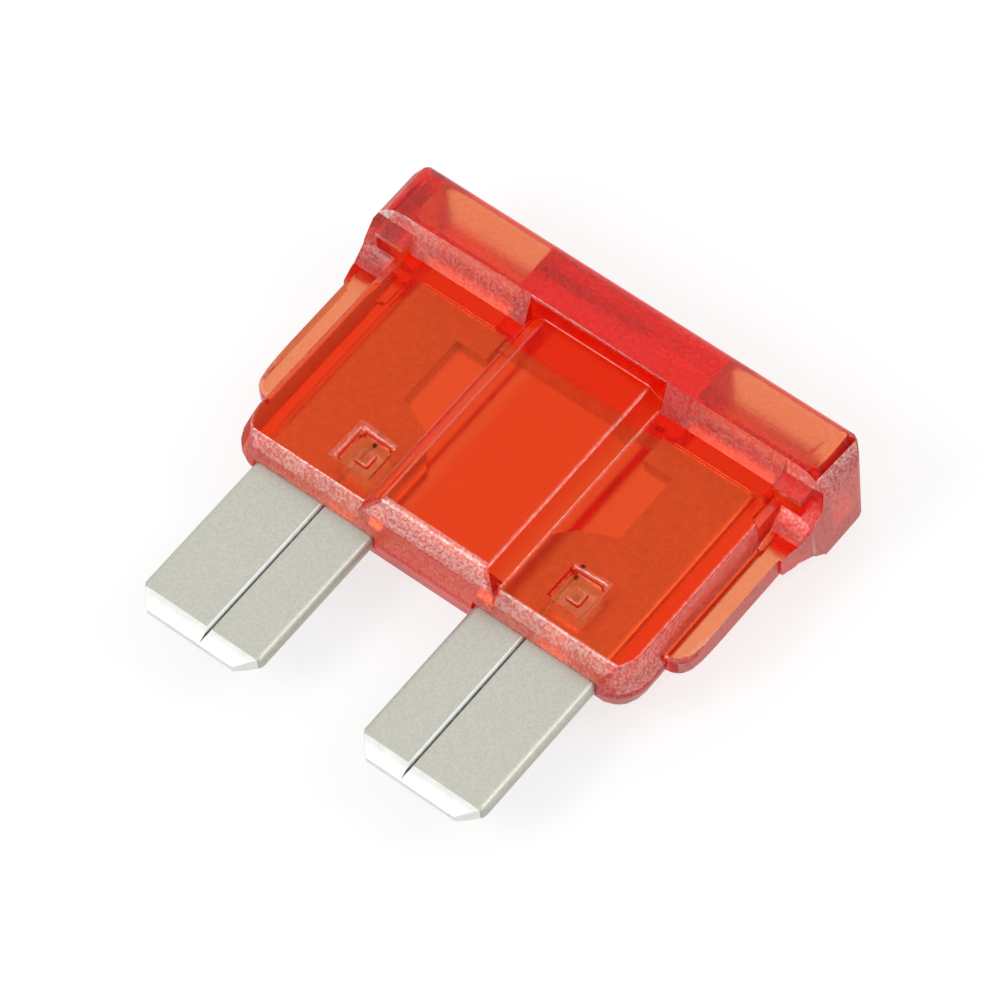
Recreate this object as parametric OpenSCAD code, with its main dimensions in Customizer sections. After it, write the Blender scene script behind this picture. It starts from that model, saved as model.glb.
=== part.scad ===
// Automotive blade fuse of the standard size, lying on its back
// X runs across the fuse, Y from the blade tips to the head, Z out of the front face
// The origin is under the middle of the fuse, on the plane of the head's back

/* [Overall] */
// Width across the head
head_w = 19.1; // [18.6:0.1:19.6]
// Length from the blade tips to the top of the head
fuse_h = 18.2; // [17.8:0.1:18.8]
// Thickness of the head, front to back
head_t = 5.0; // [4.6:0.1:5.4]
// Height of the thick head bar
head_h = 2.3; // [2:0.1:2.7]

/* [Body] */
// Length of the moulding from its bottom edge to the top of the head
body_h = 11.6; // [11.2:0.1:12]
// Width of the body below the head, without the wings
body_w = 16.1; // [15.8:0.1:16.5]
// How far the body's side walls lean out from the faces to the wings
wall_lean = 0.45; // [0.2:0.05:0.6]
// How far the bottom edges lean out from the faces to the mid-plane
bottom_lean = 0.25; // [0.1:0.05:0.4]
// Thickness of the two side sections that hold the blades
side_t = 2.5; // [2.3:0.1:2.7]
// Thickness of the raised middle section
middle_t = 3.6; // [3.2:0.1:4]
// Width of the raised middle section's flat face
middle_w = 4.4; // [4:0.1:4.8]
// Run of the slope from the middle section down to a side section
slope_run = 0.63; // [0.4:0.05:0.8]
// How far the middle section's bottom edge stops short of the side sections'
middle_rise = 0.05; // [0.05:0.05:0.2]
// Radius of the body's bottom corners
corner_r = 1.3; // [0.9:0.1:1.7]
// Width of the chamfer along the bottom edges
edge_cut = 0.4; // [0.25:0.05:0.5]
// Size of the bevel along the middle section's bottom edges
middle_cut = 0.55; // [0.45:0.05:0.7]
// How far the slope under the head runs down over a side section
step_run = 0.5; // [0.3:0.05:0.7]
// How far the slope under the head runs down over the middle section
middle_step_run = 0.12; // [0.05:0.01:0.25]

/* [Head] */
// Radius of the head's top corners, seen from the front
head_corner_r = 1.1; // [0.8:0.1:1.6]
// Radius of the head's ends, seen from above
head_end_r = 1.3; // [0.9:0.1:1.7]
// Radius along the head's top edges
head_edge_r = 0.7; // [0.4:0.05:0.9]
// Length of the shoulder that runs down from each end of the head
shoulder_h = 2.3; // [2:0.1:2.6]
// How far the shoulder draws in towards the wing
shoulder_in = 0.3; // [0.2:0.05:0.4]

/* [Wings and blocks] */
// Width across the thin side wings
wing_w = 18.3; // [17.9:0.1:18.7]
// Thickness of the wings
wing_t = 0.9; // [0.7:0.1:1.2]
// Length of the wings below the shoulders
wing_h = 5.1; // [4.6:0.1:5.6]
// Radius of the wings' lower corners
wing_r = 0.75; // [0.5:0.05:0.9]
// Width of the little block at each end of the step
block_w = 1.15; // [0.9:0.05:1.3]
// Distance from the middle to a block's inner side
block_x = 7.8; // [7.6:0.1:8]
// Height of the blocks below the head
block_h = 0.8; // [0.6:0.05:1]
// Thickness across the two blocks, front to back
block_t = 3.7; // [3.3:0.1:4]
// Length of the ledge below each block
ledge_h = 1.15; // [0.9:0.05:1.3]
// Width of the ledge
ledge_w = 1.1; // [0.9:0.05:1.3]
// Depth of the ledge below the side section's face
ledge_depth = 0.2; // [0.1:0.05:0.3]

/* [Stake pockets] */
// Width of the square pocket over each blade
pocket_w = 1.35; // [1.1:0.05:1.6]
// Height of the square pocket
pocket_h = 1.35; // [1.1:0.05:1.6]
// Distance from the bottom edge to the pocket
pocket_y = 1.15; // [0.9:0.05:1.5]
// How far both pockets are punched to the right of their true place
pocket_shift = 0.45; // [0:0.05:0.5]
// Plastic left between the pocket's floor and the blade
pocket_skin = 0.45; // [0.3:0.05:0.6]
// Width of the lump that the punch leaves on the floor
lump_w = 0.6; // [0.4:0.05:0.8]
// Height of the lump
lump_h = 0.2; // [0.1:0.05:0.3]

/* [Probe slots] */
// Width of the open slot over each blade in the top of the head
slot_w = 4.6; // [4.2:0.1:4.8]
// Distance from the middle of the head to the middle of a slot
slot_x = 6.05; // [5.9:0.05:6.2]
// Opening of the slot, front to back
slot_t = 2.7; // [2.4:0.1:3.3]
// Depth of the wide mouth of the slot
slot_h = 1.8; // [1.5:0.1:2]
// Width of the narrow throat under the mouth
throat_w = 3.6; // [3.2:0.1:3.8]
// Distance from the middle of the head to the middle of a throat
throat_x = 5.6; // [5.4:0.1:5.8]
// Opening of the narrow throat under the mouth
throat_t = 1.0; // [0.9:0.05:1.2]

/* [Chamber] */
// Width of the hollow behind the raised middle section
chamber_w = 5.2; // [4.6:0.1:5.6]
// Plastic left between the hollow and the body's bottom edge
chamber_floor = 0.8; // [0.6:0.1:1.2]
// How far the hollow reaches above the tops of the plates
chamber_rise = 1.5; // [1.2:0.05:1.7]
// Opening of the hollow, front to back
chamber_t = 1.5; // [1.3:0.1:1.7]
// Height of the slit over which the link reaches from plate to plate
slit_h = 5.4; // [4.8:0.1:5.8]
// Clearance between the metal and the plastic
fit_gap = 0.05; // [0.03:0.01:0.1]

/* [Fuse element] */
// Distance between the middles of the two blades
blade_pitch = 9.3; // [9.1:0.05:9.5]
// Width of a blade
blade_w = 5.1; // [4.9:0.05:5.3]
// Thickness of a blade, two layers of the folded sheet
blade_t = 0.65; // [0.6:0.01:0.8]
// Flat left between the round edges of a folded side
blade_flat = 0.07; // [0.04:0.01:0.12]
// Width of the chamfer at a blade's corners
tip_chamfer_w = 0.7; // [0.4:0.05:1]
// Length of the chamfer at a blade's corners
tip_chamfer_h = 0.8; // [0.5:0.05:1.1]
// Length of the coined bevel at the tips
coin_h = 0.62; // [0.4:0.02:0.8]
// Length of the coined bevel along the chamfered corners
coin_corner_h = 0.37; // [0.2:0.01:0.5]
// Thickness left at the tips
tip_t = 0.3; // [0.2:0.02:0.4]
// Width of the seam where the two folded flaps meet
seam_w = 0.16; // [0.08:0.02:0.24]
// Height above the body's bottom edge at which the flaps and their seam end
seam_h = 3; // [2.6:0.1:3.4]
// How far the seam lies from the blade's middle, towards the other blade
seam_shift = 0.4; // [0:0.05:0.5]
// Length of the plates above the body's bottom edge
plate_h = 8.4; // [8.1:0.1:8.7]
// Width of a plate at its top
plate_top_w = 3.9; // [3.6:0.1:4.1]
// Width of a plate beside its notch
plate_neck_w = 2.65; // [2.4:0.05:3]
// Height from the bottom edge to the notch's lower corner
notch_y = 4.5; // [4.2:0.1:4.8]
// Height of the notch above its slanted foot
notch_h = 2.8; // [2.5:0.1:3.1]
// Height of the slanted foot of the notch
notch_slant = 1.8; // [1.5:0.1:2.1]
// Distance from the blade's side to the bend in the notch's foot
notch_bend_w = 1.1; // [0.8:0.05:1.4]
// Drop from the notch's lower corner to that bend
notch_bend_h = 0.6; // [0.4:0.05:0.8]
// Height of the thin link between the plates
link_h = 0.45; // [0.3:0.05:0.6]
// Thickness of the link
link_t = 0.3; // [0.2:0.02:0.4]
// Distance from the plates' top to the link's top
link_drop = 0.05; // [0:0.05:0.3]

/* [Hidden] */
// Flat steps in each quarter of a rounded edge
arc_steps = 5;
// Overlap that lets cuts pass through a face
over = 0.5;
// The mid-plane of the fuse lies at half the head's thickness
mid_z = head_t / 2;
tip_y = -fuse_h / 2;
top_y = fuse_h / 2;
bottom_y = top_y - body_h;
ridge_y = bottom_y - bottom_lean;
step_y = top_y - head_h;
shoulder_y = step_y - shoulder_h;
wing_y = shoulder_y - wing_h;
plate_top_y = bottom_y + plate_h;
slope_foot_w = middle_w + 2 * slope_run;
coin_angle = atan((blade_t - tip_t) / 2 / coin_h);
chamfer_angle = atan(tip_chamfer_h / tip_chamfer_w);

// Points of an arc of radius r about c, from angle a by a quarter turn, in flat steps
function quarter(c, r, a) =
    [for (i = [0:arc_steps]) let (b = a + 90 * i / arc_steps) c + r * [cos(b), sin(b)]];

// A rectangle with round corners, centred
module round_rect(w, h, r) {
    x = w / 2 - r;
    y = h / 2 - r;
    polygon(concat(
        quarter([x, y], r, 0), quarter([-x, y], r, 90),
        quarter([-x, -y], r, 180), quarter([x, -y], r, 270)
    ));
}

// A shape drawn in the plane of the fuse, made t thick about the mid-plane
module slab(t) {
    translate([0, 0, -t / 2]) linear_extrude(t) children();
}

// A section drawn across the fuse, X and Z, swept along Y from y0 to y1
module along_y(y0, y1) {
    translate([0, y1, 0]) rotate([90, 0, 0]) linear_extrude(y1 - y0) children();
}

// A profile drawn from the side, Y and Z, swept along X over the width w
module along_x(w) {
    translate([-w / 2, 0, 0]) rotate([90, 0, 90]) linear_extrude(w) children();
}

// The same shape at both ends of the fuse
module both_ends() {
    for (s = [0, 1]) mirror([s, 0, 0]) children();
}

// The same shape on the front and on the back
module both_faces() {
    for (s = [0, 1]) mirror([0, 0, s]) children();
}

// The thick bar that the fingers or the puller hold
module head_bar() {
    intersection() {
        slab(head_t)
            translate([0, (top_y + step_y) / 2 - head_corner_r])
                round_rect(head_w, head_h + 2 * head_corner_r, head_corner_r);
        along_y(step_y, top_y) round_rect(head_w, head_t, head_end_r);
        along_x(head_w)
            translate([(top_y + step_y) / 2 - head_edge_r, 0])
                round_rect(head_h + 2 * head_edge_r, head_t, head_edge_r);
    }
}

// Outline of the shoulders from the front: they draw in towards the wings
module shoulder_outline() {
    curve = [for (i = [0:arc_steps]) let (a = 90 * i / arc_steps)
        [head_w / 2 - shoulder_in * (1 - cos(a)), step_y - shoulder_h * i / arc_steps]];
    polygon(concat(curve, [[block_x, shoulder_y], [block_x, step_y]]));
}

// Side profile of the shoulders: a hollow curve from the wing up to the head
module shoulder_profile() {
    rise = (head_t - wing_t) / 2;
    curve = [for (i = [0:arc_steps]) let (a = 90 * i / arc_steps)
        [shoulder_y + shoulder_h * sin(a), wing_t / 2 + rise * (1 - cos(a))]];
    for (s = [0, 1]) mirror([0, s])
        polygon(concat(curve, [[step_y, 0], [shoulder_y, 0]]));
}

module shoulders() {
    both_ends()
        intersection() {
            slab(head_t) shoulder_outline();
            along_x(head_w + over) shoulder_profile();
            along_y(shoulder_y, step_y) round_rect(head_w, head_t, head_end_r);
        }
}

// The two side sections, one slab with round bottom corners and sloping side walls
module side_sections() {
    h = step_y - ridge_y;
    out_w = body_w + 2 * wall_lean;
    intersection() {
        both_faces()
            translate([0, step_y, 0])
                linear_extrude(side_t / 2, scale = [body_w / out_w, (step_y - bottom_y) / h])
                    translate([0, (corner_r - h) / 2])
                        round_rect(out_w, h + corner_r, corner_r);
        bottom_bevel(bottom_y, side_t, out_w + 2 * over, edge_cut);
    }
}

// Space inside the bevelled bottom edge of a section t thick
module bottom_bevel(y0, t, w, cut) {
    along_x(w)
        polygon([
            [y0 - bottom_lean, 0], [y0, -t / 2 + cut], [y0 + cut, -t / 2],
            [top_y, -t / 2], [top_y, t / 2],
            [y0 + cut, t / 2], [y0, t / 2 - cut]
        ]);
}

// The raised middle section, with its sloping flanks
module middle_section() {
    y0 = bottom_y + middle_rise;
    intersection() {
        along_y(y0 - bottom_lean, step_y)
            polygon([
                [-slope_foot_w / 2, -side_t / 2], [-middle_w / 2, -middle_t / 2],
                [middle_w / 2, -middle_t / 2], [slope_foot_w / 2, -side_t / 2],
                [slope_foot_w / 2, side_t / 2], [middle_w / 2, middle_t / 2],
                [-middle_w / 2, middle_t / 2], [-slope_foot_w / 2, side_t / 2]
            ]);
        bottom_bevel(y0, middle_t, slope_foot_w + 2 * over, middle_cut);
    }
}

// The slopes that lead from the head's face down to the sections below it
module step_slopes() {
    both_faces() {
        both_ends()
            translate([slope_foot_w / 2, 0, 0]) slope_piece(block_x - slope_foot_w / 2, step_run, side_t);
        translate([-slope_foot_w / 2, 0, 0]) slope_piece(slope_foot_w, middle_step_run, middle_t);
    }
}

// One slope of width w that drops from the head's face to a section t thick
module slope_piece(w, run, t) {
    rotate([90, 0, 90])
        linear_extrude(w)
            polygon([[step_y, 0], [step_y - run, 0], [step_y - run, t / 2], [step_y, head_t / 2]]);
}

// Thin wings down both sides
module wings() {
    slab(wing_t)
        translate([0, (shoulder_y + wing_y) / 2 + wing_r])
            round_rect(wing_w, wing_h + 2 * wing_r, wing_r);
}

// Little blocks under both ends of the head
module blocks() {
    both_ends()
        translate([block_x, step_y - block_h, -block_t / 2])
            cube([block_w, block_h, block_t]);
}

// Ledges below the blocks, cut into the side sections' faces
module ledges() {
    both_faces()
        both_ends()
            translate([block_x, step_y - block_h - ledge_h, side_t / 2 - ledge_depth])
                cube([ledge_w, ledge_h, head_t]);
}

// Square pockets that the stake punch leaves over the blades
module stake_pockets() {
    depth = (side_t - blade_t) / 2 - fit_gap - pocket_skin;
    both_faces()
        for (s = [-1, 1])
            translate([s * (blade_pitch - seam_shift) / 2 + pocket_shift, bottom_y + pocket_y, 0])
                translate([0, 0, side_t / 2 - depth])
                    difference() {
                        translate([-pocket_w / 2, 0, 0]) cube([pocket_w, pocket_h, depth + over]);
                        translate([-lump_w / 2, (pocket_h - lump_w) / 2, -over])
                            cube([lump_w, lump_w, lump_h + over]);
                    }
}

// Slots in the top of the head, which lead a probe to the plates
module probe_slots() {
    for (s = [-1, 1]) {
        translate([s * slot_x, 0, 0])
            along_y(top_y - slot_h, top_y + over) square([slot_w, slot_t], center = true);
        translate([s * throat_x, 0, 0])
            along_y(plate_top_y, top_y) square([throat_w, throat_t], center = true);
    }
}

// The space for the fuse element
module element_space() {
    for (s = [-1, 1])
        along_y(ridge_y - over, plate_top_y + fit_gap)
            translate([s * blade_pitch / 2, 0])
                square([blade_w + 2 * fit_gap, blade_t + 2 * fit_gap], center = true);
    along_y(plate_top_y - slit_h, plate_top_y + fit_gap)
        square([blade_pitch, blade_t + 2 * fit_gap], center = true);
    along_y(bottom_y + chamber_floor, plate_top_y + chamber_rise)
        square([chamber_w, chamber_t], center = true);
}

// Housing, one moulding of clear red plastic
module housing() {
    color([0.86, 0.2, 0.14, 0.8])
        translate([0, 0, mid_z])
            difference() {
                union() {
                    head_bar();
                    shoulders();
                    side_sections();
                    middle_section();
                    step_slopes();
                    wings();
                    blocks();
                }
                ledges();
                stake_pockets();
                probe_slots();
                element_space();
            }
}

// The groove where the two folded flaps of a blade meet
module seam_groove(side) {
    along_y(tip_y - over, bottom_y + seam_h)
        translate([-side * seam_shift, blade_t / 2])
            polygon([
                [-seam_w / 2, over], [-seam_w / 2, 0], [0, -seam_w],
                [seam_w / 2, 0], [seam_w / 2, over]
            ]);
}

// Outline of one blade and its plate, as if both were cut from one flat sheet
module plate_outline(side) {
    x0 = -blade_w / 2;
    x1 = blade_w / 2;
    foot_y = bottom_y + notch_y - notch_slant;
    mirror([side > 0 ? 0 : 1, 0])
        polygon([
            [x0 + tip_chamfer_w, tip_y], [x1 - tip_chamfer_w, tip_y],
            [x1, tip_y + tip_chamfer_h], [x1, plate_top_y],
            [x1 - plate_top_w, plate_top_y], [x1 - plate_top_w, bottom_y + notch_y + notch_h],
            [x1 - plate_neck_w, bottom_y + notch_y + notch_h], [x1 - plate_neck_w, bottom_y + notch_y],
            [x0 + notch_bend_w, bottom_y + notch_y - notch_bend_h], [x0, foot_y],
            [x0, tip_y + tip_chamfer_h]
        ]);
}

// The coined bevels at a blade's tip and corners, on one face
module coin_cuts() {
    translate([0, tip_y + coin_h, blade_t / 2]) rotate([coin_angle, 0, 0])
        translate([-blade_w, -blade_w, 0]) cube([2 * blade_w, blade_w, blade_w]);
    for (s = [-1, 1])
        translate([s * blade_w / 2, tip_y + tip_chamfer_h + coin_corner_h, blade_t / 2])
            rotate([0, 0, s * chamfer_angle]) rotate([coin_angle, 0, 0])
                translate([-blade_w, -blade_w, 0]) cube([2 * blade_w, blade_w, blade_w]);
}

module blade(side) {
    translate([side * blade_pitch / 2, 0, 0])
        difference() {
            intersection() {
                along_y(tip_y, plate_top_y) round_rect(blade_w, blade_t, (blade_t - blade_flat) / 2);
                slab(blade_t) plate_outline(side);
            }
            both_faces() coin_cuts();
            seam_groove(side);
        }
}

// The thin link that melts, between the tops of the plates
module link() {
    reach = blade_pitch + blade_w - 2 * plate_top_w;
    translate([-reach / 2 - over, plate_top_y - link_drop - link_h, -link_t / 2])
        cube([reach + 2 * over, link_h, link_t]);
}

// Fuse element, one stamped and folded strip
module fuse_element() {
    color([0.78, 0.78, 0.73])
        translate([0, 0, mid_z]) {
            blade(-1);
            blade(1);
            link();
        }
}

housing();
fuse_element();
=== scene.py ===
# %% [markdown]
# # A blade fuse in clear red plastic
#
# This lesson dresses a small car fuse. The imported model gives the two real pieces, a moulded
# housing and a folded strip of metal, at their real size. Blender adds what makes them look
# real: rounded mould edges, plastic that darkens with depth, stippled bevels, and dull tinned
# metal with bright coined tips.
#
# The first cell loads the fixed model and keeps its box, so that points of the dressed housing
# that slip out can be put back inside it.

import math

import bmesh
import bpy
from mathutils import Matrix, Vector


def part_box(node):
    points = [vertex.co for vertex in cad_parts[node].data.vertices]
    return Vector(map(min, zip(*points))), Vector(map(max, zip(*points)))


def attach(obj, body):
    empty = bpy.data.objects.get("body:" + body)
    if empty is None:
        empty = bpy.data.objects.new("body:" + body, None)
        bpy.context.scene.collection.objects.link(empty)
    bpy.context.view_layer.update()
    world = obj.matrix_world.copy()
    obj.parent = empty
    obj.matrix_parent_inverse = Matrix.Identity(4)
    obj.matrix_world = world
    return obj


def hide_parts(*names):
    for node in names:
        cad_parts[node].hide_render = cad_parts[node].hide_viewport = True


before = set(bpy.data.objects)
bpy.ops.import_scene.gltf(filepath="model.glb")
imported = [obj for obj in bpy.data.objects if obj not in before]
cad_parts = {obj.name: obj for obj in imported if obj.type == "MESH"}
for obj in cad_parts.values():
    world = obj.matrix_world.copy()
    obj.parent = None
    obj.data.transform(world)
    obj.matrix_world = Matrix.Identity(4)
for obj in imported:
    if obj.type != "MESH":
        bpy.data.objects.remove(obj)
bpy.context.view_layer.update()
MM = 0.001
housing_low, housing_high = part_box("housing")
element_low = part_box("fuse_element")[0]
print("housing from", housing_low, "to", housing_high)

# %% [markdown]
# ## The camera
#
# The photo looks down on the front face from the lower right, with a long lens, so that
# parallel edges stay almost parallel. A camera is easiest to describe by where it looks, how
# far away it is, its two angles and a small roll, and the matrix follows from those.

# %% Camera
LOOK_AT = Vector((0.19, 1.10, 2.50)) * MM
DISTANCE = 217.3 * MM
AZIMUTH = math.radians(45.2)
ELEVATION = math.radians(58.5)
ROLL = math.radians(-7.6)
FOCAL_PX = 6600
IMAGE_PX = 1000


def make_camera():
    back = Vector((
        math.sin(AZIMUTH) * math.cos(ELEVATION),
        -math.cos(AZIMUTH) * math.cos(ELEVATION),
        math.sin(ELEVATION),
    ))
    level = Vector((math.cos(AZIMUTH), math.sin(AZIMUTH), 0))
    right = level * math.cos(ROLL) + back.cross(level) * math.sin(ROLL)
    up = back.cross(right)
    data = bpy.data.cameras.new("camera")
    data.sensor_width = 36
    data.lens = FOCAL_PX / IMAGE_PX * data.sensor_width
    data.clip_start = 0.01
    data.clip_end = 5
    camera = bpy.data.objects.new("camera", data)
    turn = Matrix((right, up, back)).transposed().to_4x4()
    camera.matrix_world = Matrix.Translation(LOOK_AT + back * DISTANCE) @ turn
    bpy.context.collection.objects.link(camera)
    bpy.context.scene.camera = camera
    return camera


camera = make_camera()
print("camera at", camera.location, "lens", round(camera.data.lens, 1))

# %% [markdown]
# ## Small helpers for node materials
#
# Each material below starts from an empty node tree with one output, and adds nodes one by
# one. Two short functions keep that readable: one makes the material, the other adds a node
# and sets its plain properties.

# %% Node helpers


def new_material(name):
    material = bpy.data.materials.new(name)
    material.use_nodes = True
    tree = material.node_tree
    tree.nodes.clear()
    output = tree.nodes.new("ShaderNodeOutputMaterial")
    return material, tree, output


def add(tree, kind, **values):
    node = tree.nodes.new(kind)
    for name, value in values.items():
        setattr(node, name, value)
    return node


# %% [markdown]
# ## Red plastic
#
# The housing is moulded from clear plastic with a red dye. The dye takes out green and blue
# over each millimetre, so a thin wing looks salmon and the solid head looks deep red. Volume
# absorption does just that: its density and colour are fixed by how much light is left after
# one millimetre. The surface itself stays nearly colourless.

# %% How the dye takes up light
MID_Z = 2.5 * MM
DYE_DENSITY = 1900
DYE_PER_METRE = (15, 1110, 1840)
DYE_COLOUR = [1 - part / DYE_DENSITY for part in DYE_PER_METRE] + [1]
for thickness in (0.9, 2.1, 5.0):
    left = [round(math.exp(-part * thickness * MM), 3) for part in DYE_PER_METRE]
    print("light left after", thickness, "mm:", left)

# %% [markdown]
# ## One plastic, several finishes
#
# A mould gives each face its own finish: polished on the panels, fine grained on the head, and
# sandblasted on the chamfers. Light that enters by one face leaves by another, and Cycles only
# closes a volume where it leaves through the same material. So the whole housing has one
# material, and three numbers kept on each face steer it: how much the skin scatters back, how
# rough it is, and how deep its grain is.

# %% Plastic finishes
FACE_FINISHES = {
    "polished": (0.0, 0.13, 0.002 * MM),
    "core": (0.0, 0.25, 0.004 * MM),
    "thin wing": (0.0, 0.22, 0.004 * MM),
    "grained": (0.035, 0.22, 0.004 * MM),
    "under": (0.14, 0.35, 0.003 * MM),
    "shoulder": (0.06, 0.3, 0.003 * MM),
    "step": (0.32, 0.4, 0.004 * MM),
    "side": (0.22, 0.35, 0.002 * MM),
    "left side": (0.02, 0.75, 0.01 * MM),
    "blasted": (0.23, 0.4, 0.004 * MM),
    "frosted": (0.3, 0.6, 0.01 * MM),
    "soft edge": (0.08, 0.25, 0.003 * MM),
    # A painted highlight: a bright skin on strips that stand in for rounded edges that are not
    # modelled
    "painted highlight strip": (0.75, 0.3, 0.003 * MM),
}
FINISH_NAMES = list(FACE_FINISHES)
FACE_NUMBERS = ("haze", "skin_roughness", "grain_depth")
PLASTIC_IOR = 1.5
EDGE_GLINT = (0.5, 0.15, 0.1, 1)
STIPPLE_SIZE = 0.1 * MM
STIPPLE_DETAIL = 2
STIPPLE_DARK, STIPPLE_LIGHT = (1, 0.78, 0.72), (1, 0.92, 0.88)
STIPPLE_RAMP = (0.4, 0.6)
STIPPLE_NOISE = (0.38, 0.62)
STIPPLE_HAZE = (0.55, 1.45)


def grain_noise(tree, size, detail):
    where = add(tree, "ShaderNodeTexCoord")
    noise = add(tree, "ShaderNodeTexNoise")
    noise.inputs["Scale"].default_value = 1 / size
    noise.inputs["Detail"].default_value = detail
    tree.links.new(where.outputs["Object"], noise.inputs["Vector"])
    return noise


def grain_colour(tree, shader, noise, dark, light, positions):
    ramp = add(tree, "ShaderNodeValToRGB")
    for element, position, colour in zip(ramp.color_ramp.elements, positions, (dark, light)):
        element.position = position
        element.color = (*colour, 1)
    tree.links.new(noise.outputs["Fac"], ramp.inputs["Fac"])
    tree.links.new(ramp.outputs["Color"], shader.inputs["Base Color"])


def grain_bump(tree, shader, noise):
    bump = add(tree, "ShaderNodeBump")
    bump.inputs["Strength"].default_value = 1
    tree.links.new(noise.outputs["Fac"], bump.inputs["Height"])
    tree.links.new(bump.outputs["Normal"], shader.inputs["Normal"])
    return bump


def make_plastic():
    material, tree, output = new_material("red_plastic")
    shader = add(tree, "ShaderNodeBsdfPrincipled")
    shader.inputs["IOR"].default_value = PLASTIC_IOR
    shader.inputs["Transmission Weight"].default_value = 1
    shader.inputs["Specular Tint"].default_value = EDGE_GLINT
    dye = add(tree, "ShaderNodeVolumeAbsorption")
    dye.inputs["Color"].default_value = DYE_COLOUR
    dye.inputs["Density"].default_value = DYE_DENSITY
    haze, roughness, depth = [
        add(tree, "ShaderNodeAttribute", attribute_name=name) for name in FACE_NUMBERS
    ]
    noise = grain_noise(tree, STIPPLE_SIZE, STIPPLE_DETAIL)
    grain_colour(tree, shader, noise, STIPPLE_DARK, STIPPLE_LIGHT, STIPPLE_RAMP)
    bump = grain_bump(tree, shader, noise)
    stipple = add(tree, "ShaderNodeMapRange")
    ends = ("From Min", "From Max", "To Min", "To Max")
    for end, value in zip(ends, STIPPLE_NOISE + STIPPLE_HAZE):
        stipple.inputs[end].default_value = value
    speckled = add(tree, "ShaderNodeMath", operation="MULTIPLY")
    tree.links.new(noise.outputs["Fac"], stipple.inputs["Value"])
    tree.links.new(stipple.outputs["Result"], speckled.inputs[0])
    tree.links.new(haze.outputs["Fac"], speckled.inputs[1])
    tree.links.new(speckled.outputs[0], shader.inputs["Metallic"])
    tree.links.new(roughness.outputs["Fac"], shader.inputs["Roughness"])
    tree.links.new(depth.outputs["Fac"], bump.inputs["Distance"])
    tree.links.new(shader.outputs["BSDF"], output.inputs["Surface"])
    tree.links.new(dye.outputs["Volume"], output.inputs["Volume"])
    return material


plastic = make_plastic()
print("finishes on the housing:", FINISH_NAMES)

# %% [markdown]
# ## Tinned metal
#
# The strip is zinc alloy with a dull tin finish: grey with a warm cast, mottled, with fine
# flecks. A metallic shader with a noise in its colour and a faint bump is enough.

# %% Metal material
METALLIC_SHARE = 0.85
METAL_DETAIL = 4
METAL_RAMP = (0.35, 0.7)
METAL_GRAIN_DEPTH = 0.004 * MM


def make_metal(name, dark, light, roughness, grain_size):
    material, tree, output = new_material(name)
    shader = add(tree, "ShaderNodeBsdfPrincipled")
    shader.inputs["Metallic"].default_value = METALLIC_SHARE
    shader.inputs["Roughness"].default_value = roughness
    noise = grain_noise(tree, grain_size, METAL_DETAIL)
    grain_colour(tree, shader, noise, dark, light, METAL_RAMP)
    bump = grain_bump(tree, shader, noise)
    bump.inputs["Distance"].default_value = METAL_GRAIN_DEPTH
    tree.links.new(shader.outputs["BSDF"], output.inputs["Surface"])
    return material


# Beside plain tin and its coined tips, the coined metal also paints highlights along the seam,
# the third metal is the tin made lighter inside the housing as painted light, and seam_shade is
# painted shade in the groove
METALS = [
    make_metal("tinned_metal", (0.53, 0.525, 0.46), (0.61, 0.6, 0.53), 0.45, 0.1 * MM),
    make_metal("coined_metal_and_highlight", (0.85, 0.85, 0.82), (0.95, 0.95, 0.93), 0.3, 0.3 * MM),
    make_metal("tin_with_painted_light", (0.8, 0.9, 0.86), (0.88, 0.97, 0.95), 0.4, 0.25 * MM),
    make_metal("seam_shade", (0.16, 0.16, 0.14), (0.26, 0.26, 0.23), 0.6, 0.2 * MM),
]
TINNED, COINED_AND_HIGHLIGHT, TIN_WITH_PAINTED_LIGHT, SEAM_SHADE = range(4)
print("metals:", [metal.name for metal in METALS])

# %% [markdown]
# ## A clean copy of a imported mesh
#
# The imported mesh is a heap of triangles. To work on real edges, a copy is made, points that
# lie on each other are merged, and triangles in one plane are joined to one face. At the
# outer corners of the head the rings of a double curve lie so close that they are drawn
# together a little. Faces with a hollow corner are split, because rounding an edge could fold
# such a face over itself.

# %% Joined copy
MERGE_GAP = 0.002 * MM
CORNER_GAP = 0.14 * MM
CORNER_FROM = 8.5 * MM
ONE_PLANE = math.radians(1)


def joined_copy(node, name):
    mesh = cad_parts[node].data.copy()
    mesh.name = name
    piece = bpy.data.objects.new(name, mesh)
    bpy.context.collection.objects.link(piece)
    bm = bmesh.new()
    bm.from_mesh(mesh)
    bm.edges.layers.float.new("bevel_weight_edge")
    bmesh.ops.remove_doubles(bm, verts=bm.verts, dist=MERGE_GAP)
    outer = [v for v in bm.verts if v.co.y > CORNER_FROM and abs(v.co.x) > CORNER_FROM]
    bmesh.ops.remove_doubles(bm, verts=outer, dist=CORNER_GAP)
    bmesh.ops.dissolve_limit(
        bm, angle_limit=ONE_PLANE, use_dissolve_boundaries=False,
        verts=bm.verts, edges=bm.edges,
    )
    bmesh.ops.connect_verts_concave(bm, faces=bm.faces)
    return piece, bm


# %% [markdown]
# ## Rounding the mould's edges
#
# No moulded edge is knife-sharp, and light only shows an edge that is a little round. A
# Bevel modifier with a weight on each edge does it. The weight comes from the room that the
# edge has before it meets the next corner, so that small steps get a small round and nothing
# overlaps. Edges with almost no room stay sharp.

# %% Rounding
EDGE_ROUND = 0.22 * MM
LEAST_ROUND = 0.05 * MM
SHARP_ANGLE = math.radians(30)
ROUND_SEGMENTS = 3
ROUND_PASSES = 3
STRAIGHT_ON = 0.8
LEAST_ACROSS_SQUARED = 0.04
SHARED_ROOM = 0.45
OWN_ROOM = 0.9


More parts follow.
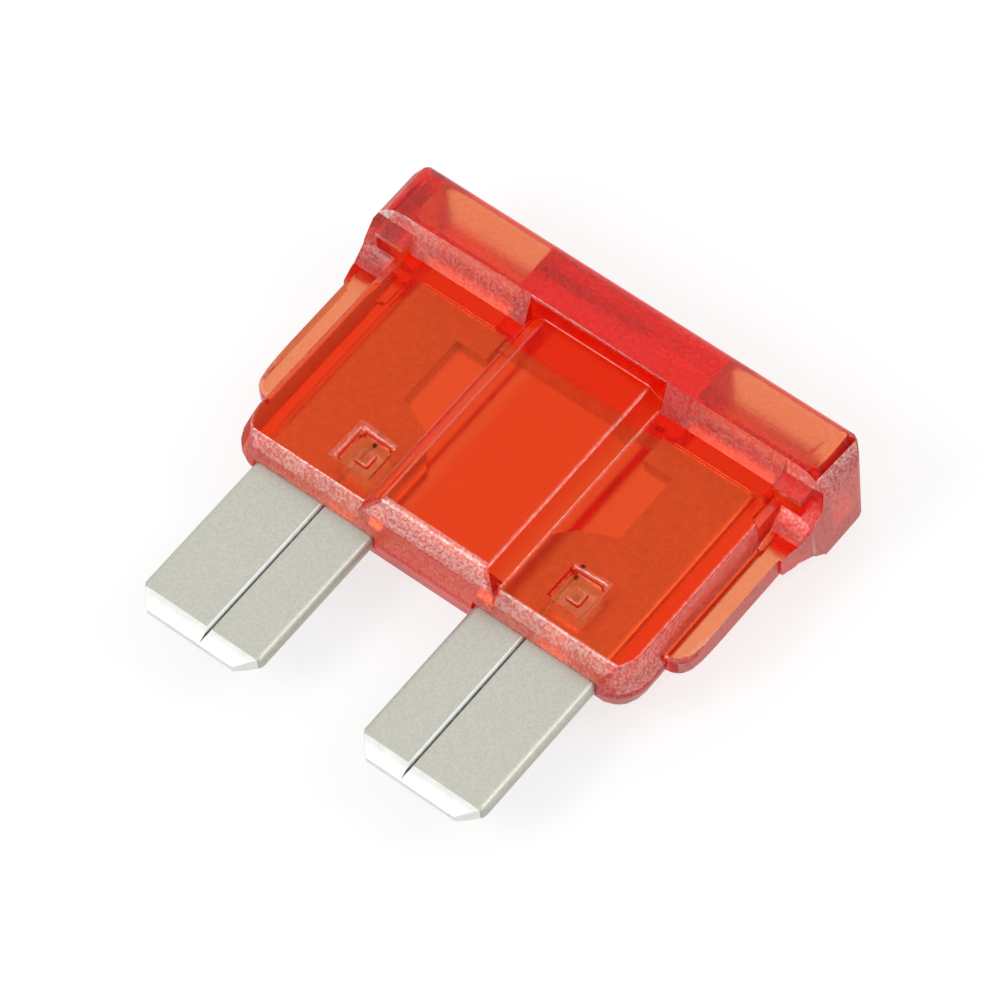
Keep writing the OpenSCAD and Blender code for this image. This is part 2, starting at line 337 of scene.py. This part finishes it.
def room_beside(edge, chosen, widest):
    """How wide an edge can be rounded before it meets the next corner."""
    room = widest
    for vert in edge.verts:
        along = (edge.other_vert(vert).co - vert.co).normalized()
        for other in vert.link_edges:
            away = (other.other_vert(vert).co - vert.co).normalized()
            straight = -along.dot(away)
            if other is edge or (other in chosen and straight > STRAIGHT_ON):
                continue
            shared = all(any(e in chosen for e in v.link_edges) for v in other.verts)
            across = math.sqrt(max(LEAST_ACROSS_SQUARED, 1 - straight * straight))
            share = SHARED_ROOM if shared else OWN_ROOM
            room = min(room, share * other.calc_length() * across)
    return room


def round_edges(piece, bm, chosen, widest, finish):
    """Round the chosen edges with a Bevel modifier, each as far as its weight lets it."""
    weight = bm.edges.layers.float["bevel_weight_edge"]
    for _ in range(ROUND_PASSES):
        rooms = {edge: room_beside(edge, chosen, widest) for edge in chosen}
        chosen = {edge for edge in chosen if rooms[edge] > LEAST_ROUND}
    for edge in chosen:
        nearby = [rooms[e] for v in edge.verts for e in v.link_edges if e in chosen]
        edge[weight] = min(nearby) / widest
    bm.to_mesh(piece.data)
    bm.free()
    bevel = piece.modifiers.new("soft edges", "BEVEL")
    bevel.affect = "EDGES"
    bevel.limit_method = "WEIGHT"
    bevel.width = widest
    bevel.segments = ROUND_SEGMENTS
    bevel.profile = 0.5
    bevel.material = finish
    bevel.use_clamp_overlap = False
    graph = bpy.context.evaluated_depsgraph_get()
    rounded = bpy.data.meshes.new_from_object(piece.evaluated_get(graph))
    piece.modifiers.clear()
    piece.data = rounded


def keep_in_box(mesh, low, high):
    """Where odd corners are rounded a point can slip out a little, so it is put back."""
    moved = 0
    for vert in mesh.vertices:
        inside = Vector(min(max(value, a), b) for value, a, b in zip(vert.co, low, high))
        if inside != vert.co:
            moved += 1
            vert.co = inside
    return moved


# %% [markdown]
# ## Shading that stays flat on flat faces
#
# Smooth shading across a rounded edge would bend the light on the big face beside it. Here
# each corner's normal leans towards the largest face round it, and only across small angles,
# so panels look flat and the rounds look round.

# %% Shading
GENTLE_ANGLE = math.radians(38)
NO_AREA = 1e-12


def smooth_gentle_angles(mesh, angle):
    """Shade across small angles only, each corner leaning towards the largest face beside it."""
    around = [[] for _ in mesh.vertices]
    for polygon in mesh.polygons:
        polygon.use_smooth = True
        for index in polygon.vertices:
            around[index].append(polygon)
    least = math.cos(angle)
    normals = []
    for polygon in mesh.polygons:
        for index in polygon.vertices:
            near = [
                other.normal * other.area for other in around[index]
                if other.normal.dot(polygon.normal) > least
            ]
            normals.append(sum(near, polygon.normal * NO_AREA).normalized())
    mesh.normals_split_custom_set(normals)


# %% [markdown]
# ## Which finish goes where
#
# A face's place and the way it looks tell what it is: a bevel under the body, the step under
# the head, a side wall, a wing or the top of a little block. The left side wall is the one
# that the camera sees from inside, through the panel, where a rough skin lets in light.

# %% Finishes by place
BLOCK_STRIP_Z = 1.6 * MM

# The places below are in mm: x out from the middle, y up the fuse, z out from the mid-plane
HEAD_CORE_X, HEAD_CORE_Y, HEAD_CORE_Z = 7.7, 7, 1.6
BODY_CORE_X, BODY_CORE_Z = 7.3, 0.9
BEVEL_Y, BEVEL_Z = -1.9, 0.8
BOTTOM_Y = -2.2
STEP_X, STEP_Y = 7.9, (6.2, 6.95)
BLOCK_X, BLOCK_Y = (7.7, 8.97), (5.9, 6.75)
POCKET_X, POCKET_Y, POCKET_RIM_Z = 6.5, 1, (1.02, 1.3)
LEFT_WALL_X, LEFT_WALL_Y = (7.5, 8.9), 6.7
WING_END_X, BODY_SIDE_X, BODY_SIDE_Y = 9, 7.5, 4
SHOULDER_X, SHOULDER_Y, SHOULDER_Z = 7.7, (4.4, 6.8), 0.6
WING_X, WING_Y = 8.2, (4.4, 6.7)
GRAINED_Y, HEAD_FACE_Z, HEAD_END_X, HEAD_TOP_Y = 4.4, 2.4, 9, 8.9
BEVEL_ROUND_Y, MIDDLE_FLANK_X = -1.7, (2.15, 3)
STEP_ROUND_X, STEP_ROUND_Y, STEP_ROUND_Z = 2.3, (6.5, 7.1), 2.1


def within(value, band):
    return band[0] < value < band[1]


def plastic_finish(centre, normal):
    """The finish of a face, from its place on the housing and the way it looks."""
    x, y, z = (abs(centre.x) / MM, centre.y / MM, abs(centre.z - MID_Z) / MM)
    looks_out = abs(normal.z)
    is_wall = looks_out < 0.5
    is_bevel = normal.y < -0.3 and 0.4 < looks_out < 0.98
    is_step = normal.y < -0.2 and looks_out > 0.2
    looks_down = normal.y < -0.8
    opens_down = y < BOTTOM_Y and normal.y < -0.5
    looks_sideways = abs(normal.x) > 0.6
    if y > HEAD_CORE_Y and z < HEAD_CORE_Z and x < HEAD_CORE_X and normal.y < 0.95:
        return "core"
    if y <= HEAD_CORE_Y and z < BODY_CORE_Z and x < BODY_CORE_X and not opens_down:
        return "core"
    if y < BEVEL_Y and z > BEVEL_Z and is_bevel:
        return "blasted" if normal.z > 0 else "frosted"
    if y < BOTTOM_Y and looks_down:
        return "under"
    if x < STEP_X and within(y, STEP_Y) and is_step:
        return "step"
    # The strips along the blocks' edges and the pocket rims get the painted highlight
    if within(x, BLOCK_X) and within(y, BLOCK_Y) and z > BLOCK_STRIP_Z / MM and is_wall:
        return "painted highlight strip"
    if x < POCKET_X and y < POCKET_Y and within(z, POCKET_RIM_Z) and is_wall:
        return "painted highlight strip"
    if within(x, LEFT_WALL_X) and y < LEFT_WALL_Y and normal.x < -0.6 and centre.x < 0:
        return "left side"
    if looks_sideways and (x > WING_END_X or (x > BODY_SIDE_X and y < BODY_SIDE_Y)):
        return "side"
    if x > SHOULDER_X and within(y, SHOULDER_Y) and z > SHOULDER_Z and looks_out > 0.3:
        return "shoulder"
    if x > WING_X and within(y, WING_Y):
        return "thin wing"
    if y > GRAINED_Y and (z > HEAD_FACE_Z or x > HEAD_END_X or y > HEAD_TOP_Y):
        return "grained"
    return "polished"


def edge_finish(centre, normal):
    """A rounded edge beside a stippled bevel or step is stippled too."""
    x, y, z = (abs(centre.x) / MM, centre.y / MM, (centre.z - MID_Z) / MM)
    is_bevel = normal.z > 0.4 and normal.y < -0.1
    if y < BEVEL_ROUND_Y and is_bevel and not within(x, MIDDLE_FLANK_X):
        return "blasted"
    if x < STEP_ROUND_X and within(y, STEP_ROUND_Y) and z > STEP_ROUND_Z:
        return "step"
    return "soft edge"


def keep_finish_numbers(mesh):
    """Turn each face's finish into the three numbers that the material reads."""
    names = [FINISH_NAMES[polygon.material_index] for polygon in mesh.polygons]
    for place, polygon in enumerate(mesh.polygons):
        if names[place] == "soft edge":
            names[place] = edge_finish(polygon.center, polygon.normal)
    for place, number in enumerate(FACE_NUMBERS):
        attribute = mesh.attributes.new(number, "FLOAT", "FACE")
        for polygon, name in zip(mesh.polygons, names):
            attribute.data[polygon.index].value = FACE_FINISHES[name][place]
    for polygon in mesh.polygons:
        polygon.material_index = 0


# %% [markdown]
# ## The housing
#
# Now the copy, the cuts, the finishes, the rounding and the shading come together. The little
# blocks under the head are too small to be rounded, so a narrow strip along their edge gets a
# painted highlight instead: a bright finish that stands in for the light on the rounded edge
# of a moulded block.

# %% Housing
BLOCK_SIDE_X = 7.75 * MM
BLOCK_SPAN_Y = (5.9 * MM, 6.85 * MM)
CUT_TOLERANCE = 0.0001 * MM


def beside_block(place):
    """The corners round the little blocks are too small and too many to be rounded."""
    return abs(place.x) > BLOCK_SIDE_X and within(place.y, BLOCK_SPAN_Y)


def split_block_edges(bm):
    """Cut a strip along the front and rear edges of the little blocks, to carry a painted
    highlight.
    """
    for side in (-1, 1):
        walls = [face for face in bm.faces if abs(face.normal.z) < 0.5]
        faces = [face for face in walls if beside_block(face.calc_center_median())]
        around = {part for face in faces for part in (*face.verts, *face.edges)}
        bmesh.ops.bisect_plane(
            bm, geom=faces + list(around), dist=CUT_TOLERANCE,
            plane_co=(0, 0, MID_Z + side * BLOCK_STRIP_Z), plane_no=(0, 0, 1),
        )


def make_housing():
    piece, bm = joined_copy("housing", "housing_shell")
    split_block_edges(bm)
    open_edges = sum(1 for edge in bm.edges if not edge.is_manifold)
    print("housing faces after merging", len(bm.faces), "open edges", open_edges)
    for face in bm.faces:
        finish = plastic_finish(face.calc_center_median(), face.normal)
        face.material_index = FINISH_NAMES.index(finish)
    core = FINISH_NAMES.index("core")
    chosen = {
        edge for edge in bm.edges
        if edge.calc_face_angle(0) > SHARP_ANGLE
        and all(face.material_index != core for face in edge.link_faces)
        and not any(beside_block(vert.co) for vert in edge.verts)
    }
    piece.data.materials.clear()
    for name in FINISH_NAMES:
        piece.data.materials.append(plastic)
    round_edges(piece, bm, chosen, EDGE_ROUND, FINISH_NAMES.index("soft edge"))
    print("points put back into the box:", keep_in_box(piece.data, housing_low, housing_high))
    keep_finish_numbers(piece.data)
    piece.data.materials.clear()
    piece.data.materials.append(plastic)
    smooth_gentle_angles(piece.data, GENTLE_ANGLE)
    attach(piece, "root")
    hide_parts("housing")
    return piece


housing = make_housing()
print("housing shell has", len(housing.data.polygons), "faces")

# %% [markdown]
# ## The metal strip
#
# One strip of zinc is stamped, folded in from both sides and pressed flat, so each blade shows
# a seam where the flaps meet, and its tip is coined thin and bright. The copy gets a tiny
# round on its sharp edges. Cuts across it mark where the bright tip, the seam's lip and the
# part inside the housing begin. Each face then takes its metal: a painted highlight on the lip
# and on the upper part of the groove's left wall, painted shade in the rest of the groove, and
# a lighter copy of the tin inside the housing, painted light for the light the plastic holds
# back.

# %% Metal strip
BLADE_ROUND = 0.035 * MM
TIP_Y = element_low.y
COIN_TOP_Y = TIP_Y + 0.62 * MM
HOUSING_END_Y = -2.6 * MM
POCKET_TOP_Y = 0
SEAM_X = 4.25 * MM
SEAM_HIGHLIGHT_WIDTH = 0.05 * MM
SEAM_HALF = 0.08 * MM
SEAM_FLOOR_Z = MID_Z + 0.235 * MM
SEAM_DARK_Z = MID_Z + 0.26 * MM
HAIR = 0.01 * MM
BLADE_SEGMENTS = 2


def in_seam(vert):
    return abs(abs(vert.co.x) - SEAM_X) < SEAM_HALF + HAIR and vert.co.z > MID_Z


def metal_finish(face):
    centre = face.calc_center_median()
    # Seam faces: inside the housing below the pocket top, the lighter tin of painted light;
    # elsewhere painted shade, except a painted highlight on the upper part of the groove's left
    # wall outside the housing
    if all(in_seam(vert) for vert in face.verts):
        if POCKET_TOP_Y > centre.y > HOUSING_END_Y:
            return TIN_WITH_PAINTED_LIGHT
        dark = centre.z < SEAM_DARK_Z or face.normal.x < 0 or centre.y > POCKET_TOP_Y
        return SEAM_SHADE if dark else COINED_AND_HIGHLIGHT
    # Metal inside the housing is a lighter copy of the tin, painted light for the light that the
    # plastic holds back
    if centre.y > HOUSING_END_Y:
        return TIN_WITH_PAINTED_LIGHT
    # A narrow strip left of each seam gets a painted highlight, for the rounded edge of the fold
    for seam in (-SEAM_X, SEAM_X):
        if 0 < seam - SEAM_HALF - centre.x < SEAM_HIGHLIGHT_WIDTH and face.normal.z > 0.5:
            return COINED_AND_HIGHLIGHT
    if centre.y < COIN_TOP_Y and abs(face.normal.z) < 0.99:
        return COINED_AND_HIGHLIGHT
    return TINNED


def cut_across(bm, place, direction):
    bmesh.ops.bisect_plane(
        bm, geom=bm.verts[:] + bm.edges[:] + bm.faces[:], dist=CUT_TOLERANCE,
        plane_co=place, plane_no=direction,
    )


def make_element():
    piece, bm = joined_copy("fuse_element", "metal_strip")
    sharp = [
        edge for edge in bm.edges
        if edge.calc_face_angle(0) > SHARP_ANGLE and not all(in_seam(vert) for vert in edge.verts)
    ]
    bmesh.ops.bevel(
        bm, geom=sharp, offset=BLADE_ROUND, affect="EDGES", segments=BLADE_SEGMENTS,
        profile=0.5, clamp_overlap=True, material=-1,
    )
    for height in (HOUSING_END_Y, COIN_TOP_Y, POCKET_TOP_Y):
        cut_across(bm, (0, height, 0), (0, 1, 0))
    for vert in bm.verts:
        if in_seam(vert) and vert.co.z < SEAM_FLOOR_Z and vert.co.y > COIN_TOP_Y - HAIR:
            vert.co.z = SEAM_FLOOR_Z
    cut_across(bm, (0, 0, SEAM_DARK_Z), (0, 0, 1))
    for seam in (-SEAM_X, SEAM_X):
        cut_across(bm, (seam - SEAM_HALF - SEAM_HIGHLIGHT_WIDTH, 0, 0), (1, 0, 0))
    for face in bm.faces:
        face.material_index = metal_finish(face)
    piece.data.materials.clear()
    for metal in METALS:
        piece.data.materials.append(metal)
    bm.to_mesh(piece.data)
    bm.free()
    smooth_gentle_angles(piece.data, GENTLE_ANGLE)
    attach(piece, "root")
    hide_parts("fuse_element")
    return piece


element = make_element()
print("metal strip has", len(element.data.polygons), "faces")

# %% [markdown]
# ## The floor
#
# The photo has a white background and a faint shadow. The floor is a plain grey that keeps
# the shadow, with a glow that only the camera, mirrors and clear plastic see, so it looks
# white without throwing light on the fuse.

# %% Floor
FLOOR_HALF = 0.5
FLOOR_DROP = 0.02 * MM
FLOOR_GREY = 0.3
FLOOR_SEEN = 0.74
FLOOR_MIRRORED = 0.6
FLOOR_THROUGH = 0.86


def make_stage():
    bm = bmesh.new()
    bmesh.ops.create_grid(bm, x_segments=1, y_segments=1, size=FLOOR_HALF)
    mesh = bpy.data.meshes.new("floor")
    bm.to_mesh(mesh)
    bm.free()
    floor = bpy.data.objects.new("floor", mesh)
    floor.location = (0, 0, -FLOOR_DROP)
    bpy.context.collection.objects.link(floor)
    material, tree, output = new_material("pale_floor")
    diffuse = add(tree, "ShaderNodeBsdfDiffuse")
    diffuse.inputs["Color"].default_value = (FLOOR_GREY, FLOOR_GREY, FLOOR_GREY, 1)
    glow = add(tree, "ShaderNodeEmission")
    both = add(tree, "ShaderNodeAddShader")
    through = add(tree, "ShaderNodeEmission")
    through.inputs["Strength"].default_value = FLOOR_THROUGH
    chosen = add(tree, "ShaderNodeMixShader")
    path = add(tree, "ShaderNodeLightPath")
    mirrored = add(tree, "ShaderNodeMath", operation="MULTIPLY")
    mirrored.inputs[1].default_value = FLOOR_MIRRORED
    strength = add(tree, "ShaderNodeMath", operation="MULTIPLY_ADD")
    strength.inputs[1].default_value = FLOOR_SEEN
    tree.links.new(path.outputs["Is Glossy Ray"], mirrored.inputs[0])
    tree.links.new(path.outputs["Is Camera Ray"], strength.inputs[0])
    tree.links.new(mirrored.outputs[0], strength.inputs[2])
    tree.links.new(strength.outputs[0], glow.inputs["Strength"])
    tree.links.new(diffuse.outputs[0], both.inputs[0])
    tree.links.new(glow.outputs[0], both.inputs[1])
    tree.links.new(path.outputs["Is Transmission Ray"], chosen.inputs[0])
    tree.links.new(both.outputs[0], chosen.inputs[1])
    tree.links.new(through.outputs[0], chosen.inputs[2])
    tree.links.new(chosen.outputs[0], output.inputs["Surface"])
    mesh.materials.append(material)
    return floor


floor = make_stage()
print("floor is", [round(side, 2) for side in floor.dimensions[:2]], "m wide")

# %% [markdown]
# ## The world
#
# A soft white sky lights the fuse from all sides. Where the camera sees it, straight, in a
# reflection or through the plastic, its strength is 1, which is white.

# %% World
SKY_LIGHT = 0.65


def make_world():
    world = bpy.data.worlds.new("world")
    bpy.context.scene.world = world
    world.use_nodes = True
    tree = world.node_tree
    tree.nodes.clear()
    output = tree.nodes.new("ShaderNodeOutputWorld")
    background = tree.nodes.new("ShaderNodeBackground")
    background.inputs["Color"].default_value = (1, 1, 1, 1)
    path = tree.nodes.new("ShaderNodeLightPath")
    seen = None
    for kind in ("Is Camera Ray", "Is Glossy Ray", "Is Transmission Ray"):
        step = tree.nodes.new("ShaderNodeMath")
        step.operation = "ADD"
        step.use_clamp = True
        if seen is None:
            step.inputs[0].default_value = 0
        else:
            tree.links.new(seen, step.inputs[0])
        tree.links.new(path.outputs[kind], step.inputs[1])
        seen = step.outputs[0]
    level = tree.nodes.new("ShaderNodeMapRange")
    level.inputs["To Min"].default_value = SKY_LIGHT
    level.inputs["To Max"].default_value = 1
    tree.links.new(seen, level.inputs["Value"])
    tree.links.new(level.outputs["Result"], background.inputs["Strength"])
    tree.links.new(background.outputs[0], output.inputs["Surface"])


make_world()
print("sky light", SKY_LIGHT)

# %% [markdown]
# ## The lamps
#
# One broad lamp stands in front to the left and a weaker one behind to the right. They are
# large for so small an object, so that the shadow is soft. Light needs many bounces inside
# clear plastic, or its depths turn black.

# %% Lamps


def area_lamp(name, place, size, power):
    data = bpy.data.lights.new(name, "AREA")
    data.shape = "DISK"
    data.size = size
    data.energy = power
    lamp = bpy.data.objects.new(name, data)
    place = Vector(place)
    turn = place.to_track_quat("Z", "Y").to_matrix().to_4x4()
    lamp.matrix_world = Matrix.Translation(place) @ turn
    bpy.context.collection.objects.link(lamp)


area_lamp("key", place=(-0.08, -0.18, 0.22), size=0.12, power=0.25)
area_lamp("fill", place=(0.17, 0.10, 0.22), size=0.12, power=0.12)
bpy.context.scene.cycles.max_bounces = 20
bpy.context.scene.cycles.glossy_bounces = 12
bpy.context.scene.cycles.transmission_bounces = 16

# %% [markdown]
# ## Colour
#
# The Standard view shows colours as they are.

# %% Finish
bpy.context.scene.view_settings.view_transform = "Standard"
